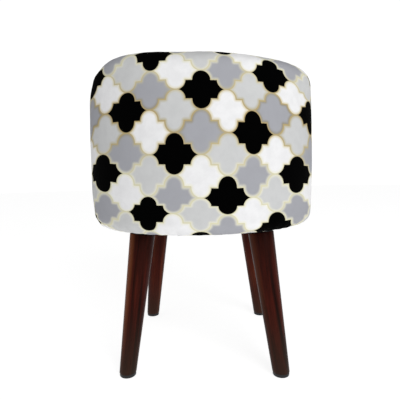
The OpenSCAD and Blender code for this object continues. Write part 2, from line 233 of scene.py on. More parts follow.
class Finish:
    """A new material with one Principled shader, and short ways to feed it."""

    def __init__(self, name, **fixed):
        self.material = bpy.data.materials.new(name)
        self.material.use_nodes = True
        self.tree = self.material.node_tree
        self.tree.nodes.clear()
        self.shader = self.node("ShaderNodeBsdfPrincipled", **fixed)
        self.surface = self.node("ShaderNodeOutputMaterial", Surface=self.shader.outputs[0])

    def node(self, kind, settings=(), **inputs):
        return put_node(self.tree, kind, settings, **inputs)

    def object_place(self):
        return self.node("ShaderNodeTexCoord").outputs["Object"]

    def attribute_place(self, name):
        return self.node("ShaderNodeAttribute", {"attribute_name": name}).outputs["Vector"]

    def uv_place(self, name):
        return self.node("ShaderNodeUVMap", {"uv_map": name}).outputs["UV"]

    def mapped(self, place, scale, turn=(0, 0, 0), shift=(0, 0, 0)):
        node = self.node("ShaderNodeMapping", Vector=place, Scale=scale, Rotation=turn, Location=shift)
        return node.outputs["Vector"]

    def axes(self, place):
        return [Field(self.tree, out) for out in self.node("ShaderNodeSeparateXYZ", Vector=place).outputs]

    def noise(self, place, scale, detail=3.0, roughness=0.5, warp=0.0, **mapping):
        """Noise whose scale is one number, or one for each axis."""
        if isinstance(scale, tuple):
            place, scale = self.mapped(place, scale, **mapping), 1.0
        return field_of(self.tree, "ShaderNodeTexNoise", Vector=place, Scale=scale, Detail=detail,
                        Roughness=roughness, Distortion=warp)

    def cells(self, place, scale):
        return field_of(self.tree, "ShaderNodeTexVoronoi", Vector=place, Scale=scale)

    def ramp(self, field, stops, steps=False):
        """A colour for each stop (place, colour) along field."""
        node = self.node("ShaderNodeValToRGB", Fac=field)
        node.color_ramp.interpolation = "CONSTANT" if steps else "EASE"
        points = node.color_ramp.elements
        while len(points) < len(stops):
            points.new(0.5)
        for point, (place, shade) in zip(points, stops):
            point.position = place
            point.color = opaque(shade)
        return node.outputs[0]

    def mixed(self, share, first, second, blend="MIX"):
        """Colour first, and colour second where share is 1."""
        node = self.node("ShaderNodeMix", {"data_type": "RGBA", "blend_type": blend})
        feed(self.tree, node.inputs[0], share)
        for socket, shade in ((node.inputs[6], first), (node.inputs[7], second)):
            feed(self.tree, socket, shade if isinstance(shade, bpy.types.NodeSocket) else opaque(shade))
        return node.outputs[2]

    def done(self, shade, roughness, *bumps):
        """The material with its colour, its roughness and its bumps (field, depth in metres, strength)."""
        links = {"Base Color": shade, "Roughness": roughness}
        for height, depth, strength in bumps:
            under = {"Normal": links["Normal"]} if "Normal" in links else {}
            links["Normal"] = self.node("ShaderNodeBump", Strength=strength, Distance=depth, Height=height,
                                        **under).outputs[0]
        for name, value in links.items():
            feed(self.tree, self.shader.inputs[name], value)
        return self.material


# Lattice of the print: half of a motif's width and height on the cloth, and its lobes' share of them
MOTIF_A = 33 * MM
MOTIF_B = 25 * MM
LOBE_W = 0.37
LOBE_H = 0.5


def printed_cloth(look):
    """Quatrefoil trellis in black, greys and white with a gold outline, on a fine matt weave."""
    f = Finish("printed_cover_cloth", Specular_IOR_Level=0.02)
    u, v, _ = f.axes(f.uv_place("print"))
    column, row = u.floor(), v.floor()
    across, up = u - column, v - row
    odd = (column + row).wrap(2.0)
    across = across.swapped(odd)
    low = up.below(0.5)
    x, y = across.swapped(low), up.swapped(low)
    yy = (y - 0.5) / LOBE_H
    xx = x / LOBE_W
    lobe = (xx * xx + yy * yy).root()
    first = (low - lobe.below(1.0)).abs()
    round_gap = (lobe - 1.0).abs() * (LOBE_W * MOTIF_A)
    step_x = (x - (1.0 - LOBE_W)).most(x * -1.0 + LOBE_W).most(0.0) * MOTIF_A
    step_y = (y - 0.5) * MOTIF_B
    gap = (step_x * step_x + step_y * step_y).root().least(round_gap)
    own_column = column + (odd + first - 1.0).abs()
    own_row = row + (1.0 - first)
    kind = ((own_column * 3.0 - own_row) / 2.0 + 0.25).floor().wrap(4.0) / 4.0
    cloth = f.uv_place("cloth")
    blotch = f.noise(cloth, 9.0, 2.0)
    faded = f.noise(cloth, 60.0, 4.0, 0.6)
    motif = f.ramp(kind, [(0.0, look.black), (0.125, look.middle), (0.375, look.white), (0.625, look.light)],
                   steps=True)
    band = ((v + 1.3).abs() + (blotch - 0.5) * 4.0).eased(0.0, 3.6)
    foil = f.mixed(band, look.gold, look.straw)
    black = kind.below(0.1)
    halo = gap.eased(look.core, look.line, 0.9, 0.0) * (1.0 - black) * (1.0 - band * 0.3)
    warmed = f.mixed(band, f.mixed(1.0, motif, look.cream, "MULTIPLY"), look.pale)
    core = (gap + black * (look.core - look.thin)).eased(look.core * 0.75, look.core * 1.3, 1.0, 0.0)
    shade = f.mixed(core, f.mixed(halo, motif, warmed), foil)
    shade = f.mixed((1.0 - black) * faded.eased(0.3, 0.7, 0.0, 0.1), shade, "8C8C90")
    warp_threads = f.noise(cloth, (2600, 420, 1), 1.0)
    weft_threads = f.noise(cloth, (420, 2600, 1), 1.0, shift=(3, 7, 0))
    weave = warp_threads.most(weft_threads)
    slack = f.noise(cloth, 28.0, 2.0)
    roughness = core.eased(0.0, 1.0, 0.88, 0.5) + weave * 0.08
    return f.done(shade, roughness, (slack, 0.0012, 0.25), (weave, 0.00022, 0.55))


def lining_cloth():
    """Black non-woven lining with pressed dots and stray fibres."""
    f = Finish("black_nonwoven_lining", Specular_IOR_Level=0.15, Sheen_Weight=0.08, Sheen_Roughness=0.5)
    place = f.object_place()
    dots = f.cells(f.mapped(place, (1, 1, 0.2)), 700.0).eased(0.2, 0.6)
    fibres = f.noise(place, (900, 260, 300), 4.0, 0.7, turn=(0, 0, 0.6))
    shade = f.ramp(fibres, [(0.3, "0B0B0C"), (0.55, "18181A"), (0.75, "2A2A2D")])
    return f.done(shade, fibres.eased(0.2, 0.8, 0.78, 0.95), (dots, 0.0002, 0.5), (fibres, 0.00025, 0.5))


def cut_foam():
    """Cream upholstery foam with open cells, with painted shade in their hollows."""
    f = Finish("cream_cut_foam", Specular_IOR_Level=0.2)
    place = f.object_place()
    cells = f.cells(place, 620.0)
    tone = f.noise(place, 14.0)
    shade = f.ramp(tone, [(0.3, "E2D3A0"), (0.6, "F0E4BE"), (0.8, "E9D9A8")])
    # Painted shade: the foam is darker in the hollows of its open cells
    shade = f.mixed(cells.eased(0.1, 0.75, 0.35, 0.0), shade, "A8925C")
    return f.done(shade, tone.eased(0.2, 0.8, 0.9, 1.0), (cells, 0.0006, 0.7))


def stained_wood(look):
    """Dark reddish-brown stain under satin varnish, with the grain along the leg, painted shade towards the
    top and a painted highlight down one side.
    """
    f = Finish("mahogany_stained_leg", Specular_IOR_Level=0.045)
    place = f.attribute_place("grain")
    bands = f.noise(place, (70, 70, 2.2), 4.0, 0.55, 0.6)
    streaks = f.noise(place, (520, 520, 9), 4.0, 0.65)
    pores = f.noise(place, (1700, 1700, 60), 2.0, shift=(5, 1, 2))
    shade = f.ramp(bands, [(0.3, look.dark), (0.52, look.red), (0.72, look.warm)])
    shade = f.mixed(streaks.eased(0.35, 0.65, 0.0, 0.4), shade, look.dark)
    # Painted shade: the darkest wood colour mixed in towards the top of the leg, where the drum's shadow
    # falls
    height = f.axes(f.object_place())[2]
    shade = f.mixed((height + streaks * 0.06).eased(0.14, 0.25, 0.0, 0.65), shade, look.dark)
    # Painted highlight: a paler, warmer streak down one side of the leg, strongest towards the top
    pale = f.axes(f.attribute_place("painted_highlight"))[0].eased(0.72, 0.97, 0.0, 0.85)
    shade = f.mixed(pale * height.eased(0.0, 0.16, 0.25, 1.0), shade, look.painted_highlight)
    # Duller, greyer colour mixed in towards the foot
    shade = f.mixed((height + bands * 0.04).eased(0.0, 0.13, 0.75, 0.0), shade, look.dulled)
    shade = f.mixed(pores.eased(0.62, 0.72, 0.0, 0.6), shade, "0E0403")
    dulled = f.noise(place, 26.0)
    roughness = dulled.eased(0.3, 0.7, 0.3, 0.42) + pores.eased(0.6, 0.75, 0.0, 0.15)
    return f.done(shade, roughness, (pores, 0.00012, 0.35), (streaks, 0.00025, 0.3))


def board_wood(name, pale, dark, stretch, layers):
    """Plain wood with its grain along the direction of least stretch, and glued layers where asked."""
    f = Finish(name, Specular_IOR_Level=0.3)
    place = f.object_place()
    grain = f.noise(place, stretch, 5.0, 0.6, 0.8)
    fine = f.noise(place, tuple(7 * s for s in stretch), 2.0)
    shade = f.ramp(grain, [(0.3, dark), (0.6, pale), (0.8, dark)])
    if layers:
        height = f.axes(place)[2] / (1.7 * MM)
        shade = f.mixed(height.floor().wrap(2.0) * 0.45, shade, "7A5230")
    return f.done(shade, fine.eased(0.2, 0.8, 0.6, 0.85), (fine, 0.0002, 0.4))


def hard_board():
    """Dark pressed fibre board."""
    f = Finish("pressed_hardboard", Specular_IOR_Level=0.35)
    specks = f.noise(f.object_place(), 900.0, 3.0, 0.7)
    shade = f.ramp(specks, [(0.3, "4A2E18"), (0.55, "6B4626"), (0.75, "8A6038")])
    return f.done(shade, specks.eased(0.2, 0.8, 0.5, 0.75), (specks, 0.0001, 0.3))


def plated_steel(name, pale, dark, scale, low, high):
    """Zinc-plated steel with drawn marks, small spangles and rubbed patches."""
    f = Finish(name, Metallic=1.0)
    place = f.object_place()
    drawn = f.noise(place, (1400, 160, 400), 2.0)
    patch = f.noise(place, scale, 4.0, 0.6)
    shade = f.ramp(patch, [(0.3, dark), (0.55, pale), (0.8, dark)])
    return f.done(shade, patch.eased(0.3, 0.7, low, high) + drawn * 0.08, (drawn, 0.00008, 0.3))


def black_plastic():
    """Moulded black plastic, finely textured, with scuffs near the floor."""
    f = Finish("black_moulded_glide", Specular_IOR_Level=0.4)
    place = f.object_place()
    grit = f.noise(place, 1500.0, 2.0)
    scuff = f.noise(place, (90, 90, 400), 4.0, 0.7)
    height = f.axes(place)[2].eased(0.0, 0.004, 1.0, 0.0)
    shade = f.ramp(scuff * height, [(0.25, "0D0D0E"), (0.5, "17171A"), (0.75, "3A3A3C")])
    return f.done(shade, scuff.eased(0.2, 0.8, 0.4, 0.65), (grit, 0.0001, 0.35))


def floor_paint(look):
    """Plain matt floor with a hardly visible unevenness, which isn't seen from below."""
    f = Finish("plain_studio_floor", Specular_IOR_Level=0.05, Emission_Strength=0.86, Emission_Color=WHITE)
    tone = f.noise(f.object_place(), 1.5, 2.0)
    f.done(f.mixed(tone.eased(0.2, 0.8, 0.0, 0.05), look.floor, "A0A0A0"), tone.eased(0.2, 0.8, 0.85, 0.95))
    below = f.node("ShaderNodeNewGeometry").outputs["Backfacing"]
    either = either_shader(f.tree, below, f.shader, f.node("ShaderNodeBsdfTransparent"))
    feed(f.tree, f.surface.inputs["Surface"], either)
    return f.material


def meet_of_arcs(drum):
    """Centre of the shoulder's arc, which lies inside both the crown and the side and touches each."""
    x = drum.width / 2 - drum.side_radius
    low = drum.height - drum.crown_radius
    a = drum.crown_radius - drum.shoulder_radius
    b = drum.side_radius - drum.shoulder_radius
    rise = drum.widest_height - low
    d = hypot(x, rise)
    along = (a * a - b * b + d * d) / (2 * d)
    off = sqrt(a * a - along * along)
    return (along * x + off * rise) / d, low + (along * rise - off * x) / d


def drum_line(drum, inset=0.0, pitch=0.5 * MM):
    """Points (radius, height above the underside) along the drum's section, drawn in by inset.

    They run from the start of the lower edge, up the side, over the shoulder and crown to the axis."""
    side_x = drum.width / 2 - drum.side_radius
    crown_z = drum.height - drum.crown_radius
    top_x, top_z = meet_of_arcs(drum)
    low_z = drum.edge_radius
    low_x = side_x + sqrt((drum.side_radius - low_z) ** 2 - (low_z - drum.widest_height) ** 2)
    low_turn = atan2(low_z - drum.widest_height, low_x - side_x)
    side_turn = atan2(top_z - drum.widest_height, top_x - side_x)
    crown_turn = atan2(top_z - crown_z, top_x)
    arcs = [
        (low_x, low_z, low_z, -pi / 2, low_turn),
        (side_x, drum.widest_height, drum.side_radius, low_turn, side_turn),
        (top_x, top_z, drum.shoulder_radius, side_turn, crown_turn),
        (0.0, crown_z, drum.crown_radius, crown_turn, pi / 2),
    ]
    points = [(low_x, inset)]
    for x, z, radius, first, last in arcs:
        steps = max(4, round(radius * abs(last - first) / pitch))
        for k in range(1, steps + 1):
            turn = first + (last - first) * k / steps
            points.append((x + (radius - inset) * cos(turn), z + (radius - inset) * sin(turn)))
    return points


def evenly(points, pitch):
    """The same line with its points about pitch apart, ends kept."""
    runs = [0.0]
    for (r0, z0), (r1, z1) in zip(points, points[1:]):
        runs.append(runs[-1] + hypot(r1 - r0, z1 - z0))
    count = max(2, round(runs[-1] / pitch))
    out, k = [], 0
    for n in range(count + 1):
        goal = runs[-1] * n / count
        while k < len(runs) - 2 and runs[k + 1] < goal:
            k += 1
        share = (goal - runs[k]) / max(runs[k + 1] - runs[k], 1e-12)
        out.append(tuple(p + (q - p) * share for p, q in zip(points[k], points[k + 1])))
    return out


def quarter(steps, first=0):
    """Turns through a quarter circle, from step first to the last."""
    return [pi / 2 * k / steps for k in range(first, steps + 1)]


def within(x):
    """x kept between 0 and 1."""
    return min(1.0, max(0.0, x))


def bell(x, middle, width):
    return exp(-((x - middle) / width) ** 2)


def radius_of(place):
    return hypot(place.x, place.y)


def turn_of(place):
    """Turn of a place round the drum, from the front."""
    return atan2(place.x, -place.y)


def lathe(points, steps, closed=False, ways=()):
    """A surface of revolution about the Z axis from points (radius, height), and their ways along it."""
    bm = bmesh.new()
    way_of = bm.verts.layers.float.new("way") if ways else None
    line = [bm.verts.new((r, 0, z)) for r, z in points]
    for v, way in zip(line, ways):
        v[way_of] = way
    ends = line[1:] + line[:1] if closed else line[1:]
    edges = [bm.edges.new(pair) for pair in zip(line, ends)]
    bmesh.ops.spin(bm, geom=line + edges, cent=(0, 0, 0), axis=(0, 0, 1), dvec=(0, 0, 0),
                   angle=TAU, steps=steps, use_merge=True, use_duplicate=False)
    bmesh.ops.remove_doubles(bm, verts=bm.verts, dist=1e-6)
    bmesh.ops.dissolve_degenerate(bm, dist=1e-7, edges=bm.edges)
    bmesh.ops.recalc_face_normals(bm, faces=bm.faces)
    return bm


def face_away(bm, centre):
    """Turns all faces together so that most of them point away from centre."""
    bm.normal_update()
    score = sum(f.normal.dot(f.calc_center_median() - centre) * f.calc_area() for f in bm.faces)
    if score < 0:
        bmesh.ops.reverse_faces(bm, faces=bm.faces)
    bm.normal_update()


def round_edges(bm, edges, offset):
    bmesh.ops.bevel(bm, geom=edges, offset=offset, offset_type="OFFSET", segments=2, profile=0.5,
                    affect="EDGES", material=-1)


def only(kind, geometry):
    """The vertices, edges or faces among what an operator gives back."""
    return [g for g in geometry if isinstance(g, kind)]


def mesh_of(name, bm):
    """A mesh from a bmesh, which is freed."""
    mesh = bpy.data.meshes.new(name)
    bm.to_mesh(mesh)
    bm.free()
    return mesh


def added(name, data):
    """A new object of the scene that shows data."""
    made = bpy.data.objects.new(name, data)
    bpy.context.scene.collection.objects.link(made)
    return made


def new_piece(name, bm, finish, sharp=None, lift=0.0):
    """A finished piece that rides on the stool's only body, lifted from where it was made."""
    bmesh.ops.translate(bm, vec=(0, 0, lift), verts=bm.verts)
    mesh = mesh_of(name, bm)
    piece = added(name, mesh)
    mesh.materials.append(finish)
    mesh.shade_smooth()
    if sharp is not None:
        mesh.set_sharp_from_angle(angle=radians(sharp))
    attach(piece, "root")
    return piece


def thicken(piece, name, thickness):
    """Gives an open sheet its thickness, inwards from its face."""
    wall = piece.modifiers.new(name, "SOLIDIFY")
    wall.thickness = thickness
    wall.offset = -1.0
    wall.use_even_offset = True
    wall.use_rim = True


# The print's columns from front to back, and how the cloth was stretched on both flanks: by so many
# degrees in all, about this column and over a run of so many columns
COLUMNS = 16
STRETCH = 17.0
STRETCH_COLUMN = 4.4
STRETCH_RUN = 1.0
# Way up the section from the lower edge's start, in centimetres, and the print's row there
ROW_PLACE = ((-3.6, -9), (-1.1, -8), (1.42, -7), (3.93, -6), (6.03, -5), (8.75, -4), (11.2, -3), (13.8, -2),
             (16.5, -1), (18.83, 0), (21.05, 1), (23.3, 2), (25.6, 3), (28.0, 4))
# How the print lies on the drum: turned, moved sideways, and with its columns flared upwards and leaning
PRINT_TURN = radians(0.86)
PRINT_SHIFT = -0.05
PRINT_FLARE = 0.072
PRINT_LEAN = -0.0143
# Tilt of its rows on the side, and how much more they tilt over a run of so many metres from this way up
ROW_TILT = 0.17
SHOULDER_TILT = 0.25
SHOULDER_WAY = 0.17
SHOULDER_RUN = 0.05
# Where the cloth was pulled out of line: turn in degrees, way up, and the columns and rows of slip there
PRINT_SLIP = (
    (68, 0.168, 0.02, -0.52), (-55, 0.214, -0.05, -0.32), (-50, 0.09, 0.15, -0.16), (10, 0.056, 0.0, 0.1),
    (0, 0.186, -0.065, 0.0), (21, 0.134, -0.08, 0.02), (30, 0.208, 0.05, -0.13), (-32, 0.16, 0.02, -0.06),
    (-10, 0.108, -0.03, 0.04), (-72, 0.16, 0.25, 0.0), (-70, 0.09, 0.22, 0.0), (-46, 0.055, -0.14, 0.0),
    (-66, 0.012, 0.4, 0.0), (46, 0.07, 0.15, -0.08), (50, 0.222, 0.12, 0.0), (-52, 0.15, 0.0, -0.09),
    (0, 0.003, 0.0, -0.13), (-21, 0.035, 0.04, 0.0))
# Reach of each slip round the drum, in degrees, and up it
SLIP_TURN = 15
SLIP_WAY = 0.035


def smooth_through(table, x):
    """Value at x of a smooth curve through the table's (x, y) pairs."""
    k = 0
    while k < len(table) - 2 and x > table[k + 1][0]:
        k += 1

    def slope(n):
        a, b = table[max(n - 1, 0)], table[min(n + 1, len(table) - 1)]
        return (b[1] - a[1]) / (b[0] - a[0])

    (x0, y0), (x1, y1) = table[k], table[k + 1]
    w = x1 - x0
    t = (x - x0) / w
    if not 0 <= t <= 1:
        return y0 + slope(k) * (x - x0) if t < 0 else y1 + slope(k + 1) * (x - x1)
    return ((1 + 2 * t) * (1 - t) ** 2 * y0 + t * (1 - t) ** 2 * w * slope(k)
            + t * t * (3 - 2 * t) * y1 - t * t * (1 - t) * w * slope(k + 1))


def column_turn(column):
    """Turn from the front, in radians, at which a column of the print stands on the cover."""
    def stretched(n):
        ends = tanh((n - STRETCH_COLUMN) / STRETCH_RUN) + tanh(STRETCH_COLUMN / STRETCH_RUN)
        return 0.5 * STRETCH * ends

    return radians((180 - stretched(COLUMNS)) / COLUMNS * column + stretched(column))


COLUMN_TABLE = [(column_turn(n), n) for n in range(COLUMNS + 1)]
COLUMN_TABLE = [(-a, -n) for a, n in reversed(COLUMN_TABLE[1:])] + COLUMN_TABLE
ROW_TABLE = [(s * 0.01, row) for s, row in ROW_PLACE]


def print_place(turn, way):
    """Column and row of the print at a turn from the front and a way up the section."""
    tilt = ROW_TILT + SHOULDER_TILT * within((way - SHOULDER_WAY) / SHOULDER_RUN)
    row = smooth_through(ROW_TABLE, way) + tilt * sin(turn)
    over = row + 2
    column = (smooth_through(COLUMN_TABLE, turn - PRINT_TURN) + PRINT_SHIFT
              + PRINT_FLARE * over * sin(turn) + PRINT_LEAN * over * cos(turn))
    for middle, height, columns, rows in PRINT_SLIP:
        near = bell(degrees(turn), middle, SLIP_TURN) * bell(way, height, SLIP_WAY)
        column += columns * near
        row += rows * near
    return column, row


def ripple(turn, count, seed):
    """Uneven small folds round the drum, from -1 to 1."""
    drift = noise.noise(Vector((2.3 * cos(turn), 2.3 * sin(turn), seed)))
    size = 0.65 + 0.7 * noise.noise(Vector((5 * cos(turn), 5 * sin(turn), seed + 9)))
    return size * sin(count * turn + 5 * drift)


# Turn from the front, in degrees, and the extra fullness of the shoulder's padding there, in millimetres
SHOULDER_SWELL = ((-180, -1.5), (-130, 0.0), (-100, 1.0), (-80, 1.9), (-66, 3.6), (-54, 3.6), (-43, 6.4),
                  (-32, 6.0), (-20, 2.8), (-8, -0.6), (10, -1.9), (28, -3.2), (43, -2.2), (57, -0.3),
                  (72, 1.0), (100, 0.4), (180, -1.5))
# Fullness elsewhere, in millimetres: how much, its height and reach up and down, its turn and reach round the
# drum, and the radius from which it begins
OTHER_SWELL = ((1.4, 52, 26, -72, 32, 0), (-4.0, 218, 15, -76, 22, 160), (-2.5, 8, 6, -70, 24, 0))


def swell(place):
    """Rise of the cloth at a place in the drum's own frame, in metres.

    It adds the padding's lopsided fullness, the valley of the crown's seam and the simulated stuffing."""
    turn = degrees(turn_of(place))
    z, r = place.z / MM, radius_of(place) / MM
    shoulder = (bell(z, 227, 9) if z < 227 else 1.0) * within((r - 60) / 80)
    rise = shoulder * smooth_through(SHOULDER_SWELL, turn)
    for most, height, reach, side, round_by, least in OTHER_SWELL:
        rise += most * bell(z, height, reach) * bell(turn, side, round_by) * (r >= least)
    slow = 0.7 * noise.noise(place / 0.07) + 0.35 * noise.noise(place / 0.03)
    valley = 1.3 * bell(r, 150, 6) if z > 200 else 0.0
    return (rise + slow - valley) * MM + stuffed(place)


def pushed(v, drum):
    """Step of a vertex under the padding's push, square to the cloth, or to the crown at its seam."""
    x, y, z = v.co
    at_seam = z > drum.pad and abs(radius_of(v.co) - drum.seam) < 4 * MM
    out = Vector((x, y, z - drum.height + drum.crown_radius)).normalized() if at_seam else v.normal
    return out * swell(v.co)


# Places on the crown as (x, y) in a search tree, and how far the stuffing pressed the cloth up at each
STUFFED = {"tree": None, "rises": []}
STUFFING_FRAMES = 20
STUFFED_RADIUS = 0.15


def stuffed(place):
    """Rise of the crown at a place, averaged from the nearest points of the simulated cloth."""
    tree = STUFFED["tree"]
    r = radius_of(place)
    if tree is None or place.z < 0.2 or r > STUFFED_RADIUS:
        return 0.0
    found = tree.find_n(Vector((place.x, place.y, 0)), 8)
    near = [(STUFFED["rises"][n], 1 / (d + 1 * MM)) for _, n, d in found]
    rise = sum(a * w for a, w in near) / sum(w for _, w in near)
    dome = 1.2 * MM * (1 - (r / STUFFED_RADIUS) ** 2)
    return (rise - dome) * min(1.0, (STUFFED_RADIUS - r) / 0.004)


class FOOTSTOOL_OT_stuff_crown(bpy.types.Operator):
    """Seat pad pressed out under its crown in a short cloth simulation, held at its seam and bottom"""
    bl_idname = "footstool.stuff_crown"
    bl_label = "Stuff crown"

    def execute(self, context):
        drum = context.scene.footstool_drum
        form = self.form(context, drum)
        rest = [v.co.copy() for v in form.data.vertices]
        for frame_number in range(1, STUFFING_FRAMES + 1):
            context.scene.frame_set(frame_number)
        settled = form.evaluated_get(context.evaluated_depsgraph_get())
        ends = [v.co.copy() for v in settled.data.vertices]
        top = [n for n, a in enumerate(rest) if radius_of(a) < drum.seam and a.z > drum.pad + 0.02]
        if not top:
            raise RuntimeError("the pad's form has no top")
        tree = STUFFED["tree"] = kdtree.KDTree(len(top))
        for k, n in enumerate(top):
            tree.insert(Vector((rest[n].x, rest[n].y, 0)), k)
        tree.balance()
        STUFFED["rises"] = [min(2.5 * MM, max(-1.0 * MM, ends[n].z - rest[n].z)) for n in top]
        context.scene.frame_set(1)
        mesh = form.data
        bpy.data.objects.remove(form)
        bpy.data.meshes.remove(mesh)
        return {"FINISHED"}

    def form(self, context, drum):
        """Closed form of the pad inside its seam, in even facets, as a cloth under pressure."""
        inside = [(r, z) for r, z in drum_line(drum, drum.cloth) if r <= drum.seam and z > drum.pad]
        line = evenly(inside, 4 * MM)
        rim, low = line[0]
        mesh = mesh_of("pad_form", lathe([(0.0, drum.pad), (rim, drum.pad)] + line, 120))
        form = added("pad_form", mesh)
        facets = form.modifiers.new("facets", "REMESH")
        facets.mode = "VOXEL"
        facets.voxel_size = 5 * MM
        even = bpy.data.meshes.new_from_object(form.evaluated_get(context.evaluated_depsgraph_get()))
        form.modifiers.clear()
        form.data = even
        bpy.data.meshes.remove(mesh)
        held = form.vertex_groups.new(name="held")
        held.add([v.index for v in even.vertices
                  if v.co.z < low - 2 * MM or radius_of(v.co) > drum.seam - 4 * MM], 1.0, "REPLACE")
        cloth = form.modifiers.new("stuffing", "CLOTH")
        cloth.settings.quality = 6
        cloth.settings.mass = 0.3
        cloth.settings.shrink_min = -0.015
        cloth.settings.use_pressure = True
        cloth.settings.uniform_pressure_force = 4.0
        cloth.settings.vertex_group_mass = held.name
        cloth.settings.effector_weights.gravity = 0.0
        cloth.collision_settings.use_collision = False
        cloth.point_cache.frame_start = 1
        cloth.point_cache.frame_end = STUFFING_FRAMES
        return form


# Radius at which the cloth rolls into the crown's seam, and how far it goes on down
SEAM_ROLL = 2.4 * MM
SEAM_TUCK = 1.6 * MM
# Depth of the ripples at the crown's seam and of the pleats over the lower edge, and the back seam's stitch
SEAM_RIPPLE = 0.4 * MM
PLEAT = 0.75 * MM
STITCH = 7.5 * MM


def rolled_lip(start, way):
    """Points of the cloth's edge rolled into the seam from start: outwards for way 1, inwards for -1."""
    r, z = start
    lip = [(r + way * SEAM_ROLL * sin(a), z - SEAM_ROLL * (1 - cos(a))) for a in quarter(6, 1)]
    return lip + [(lip[-1][0], lip[-1][1] - SEAM_TUCK)]


def lay_maps(bm, places):
    """Fills the print's and the cloth's UV map from places(vertex, face), which gives both."""
    maps = [bm.loops.layers.uv.new(name) for name in ("print", "cloth")]
    for face in bm.faces:
        for loop in face.loops:
            for uv_map, uv in zip(maps, places(loop.vert, face)):
                loop[uv_map].uv = uv


class FOOTSTOOL_OT_cover_band(bpy.types.Operator):
    """Side band of the cover, from the crown seam over the shoulder, down and under to the hem"""
    bl_idname = "footstool.cover_band"
    bl_label = "Cover band"

    def execute(self, context):
        drum = context.scene.footstool_drum
        outer = drum_line(drum)
        start_r = outer[0][0]
        rim = drum.seam + drum.ease / 2
        upper = [(r, z) for r, z in outer if z <= drum.pad or r >= rim + SEAM_ROLL]
        under = evenly([(drum.hem, 0.0), (start_r, 0.0)], 2.4 * MM)[:-1]
        line = under + evenly(upper, 2.4 * MM) + rolled_lip(upper[-1], -1)
        ways = [r - start_r for r, _ in under] + [0.0]
        for a, b in zip(line[len(under):], line[len(under) + 1:]):
            ways.append(ways[-1] + hypot(b[0] - a[0], b[1] - a[1]))
        bm = lathe(line, 360, ways=ways)
        face_away(bm, Vector((0, 0, drum.height / 2)))
        self.cut_back_seam(bm)
        way_of = bm.verts.layers.float["way"]

        def places(v, face):
            turn, side, way = turn_of(v.co), turn_of(face.calc_center_median()), v[way_of]
            if abs(turn - side) > pi:
                turn += copysign(TAU, side)
            return print_place(turn, way), (turn * drum.width / 2, way)

        lay_maps(bm, places)
        for v in bm.verts:
            v.co += self.step(v, v[way_of], ways[-1], drum)
        piece = new_piece("cover_band", bm, printed_cloth(context.scene.footstool_print),
                          lift=UNDERSIDE)
        thicken(piece, "cloth_thickness", drum.cloth)
        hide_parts("cover_side")
        return {"FINISHED"}

    def cut_back_seam(self, bm):
        """Puts finer lines of vertices down the back, where the band's ends are sewn together."""
        for x in (-2.4, -1.5, -0.8, 0.8, 1.5, 2.4):
            faces = {f for v in bm.verts if v.co.y > 0 and abs(v.co.x) < 12 * MM for f in v.link_faces}
            edges = {e for f in faces for e in f.edges}
            verts = {v for f in faces for v in f.verts}
            bmesh.ops.bisect_plane(bm, geom=[*verts, *edges, *faces], dist=1e-6,
                                   plane_co=(x * MM, 0, 0), plane_no=(1, 0, 0))

    def step(self, v, way, end, drum):
        """Ripples at the crown's seam, pleats over the lower edge, the back seam and the padding's push."""
        turn = turn_of(v.co)
        to_seam = max(0.0, end - 4 * MM - way)
        rise = SEAM_RIPPLE * exp(-to_seam / 0.012) * ripple(turn, 64, 3.0) * min(1.0, (end - way) / 0.004)
        pleat = bell(way, 0.011, 0.010) if way > 0 else 0.0
        rise += PLEAT * pleat * ripple(turn, 56, 7.0)
        if v.co.y > 0 and way > 0.004:
            groove = bell(v.co.x, 0.0, 1.3 * MM) * (0.85 + 0.25 * cos(way / STITCH * TAU))
            puff = bell(abs(v.co.x), 6 * MM, 4 * MM)
            rise += (0.35 * puff - 1.1 * groove) * MM * min(1.0, (way - 0.004) / 0.02)
        return v.normal * rise + pushed(v, drum) * within(way / 0.03)


class FOOTSTOOL_OT_cover_crown(bpy.types.Operator):
    """Round crown piece of the cover, rolled in at its seam"""
    bl_idname = "footstool.cover_crown"
    bl_label = "Cover crown"

    def execute(self, context):
        drum = context.scene.footstool_drum
        rim = drum.seam - drum.ease / 2
        crown = [(r, z) for r, z in drum_line(drum) if z > drum.pad and r < rim - SEAM_ROLL]
        bm = lathe(rolled_lip(crown[0], 1)[::-1] + evenly(crown, 2.6 * MM), 240)
        face_away(bm, Vector((0, 0, 0)))
        first_row = smooth_through(ROW_TABLE, CROWN_WAY)
        lay_maps(bm, lambda v, face: ((v.co.x / MOTIF_A - 0.3, first_row + (v.co.y + drum.seam) / MOTIF_B),
                                      (v.co.x, v.co.y)))
        for v in bm.verts:
            r = radius_of(v.co)
            fade = exp(-max(0.0, rim - SEAM_ROLL - r) / 0.014)
            rise = SEAM_RIPPLE * fade * ripple(turn_of(v.co), 60, 5.0) * within((rim - r) / 0.003)
            v.co += v.normal * rise + pushed(v, drum)
        piece = new_piece("crown_cloth", bm, bpy.data.materials["printed_cover_cloth"],
                          lift=UNDERSIDE)
        thicken(piece, "cloth_thickness", drum.cloth)
        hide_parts("cover_crown")
        return {"FINISHED"}


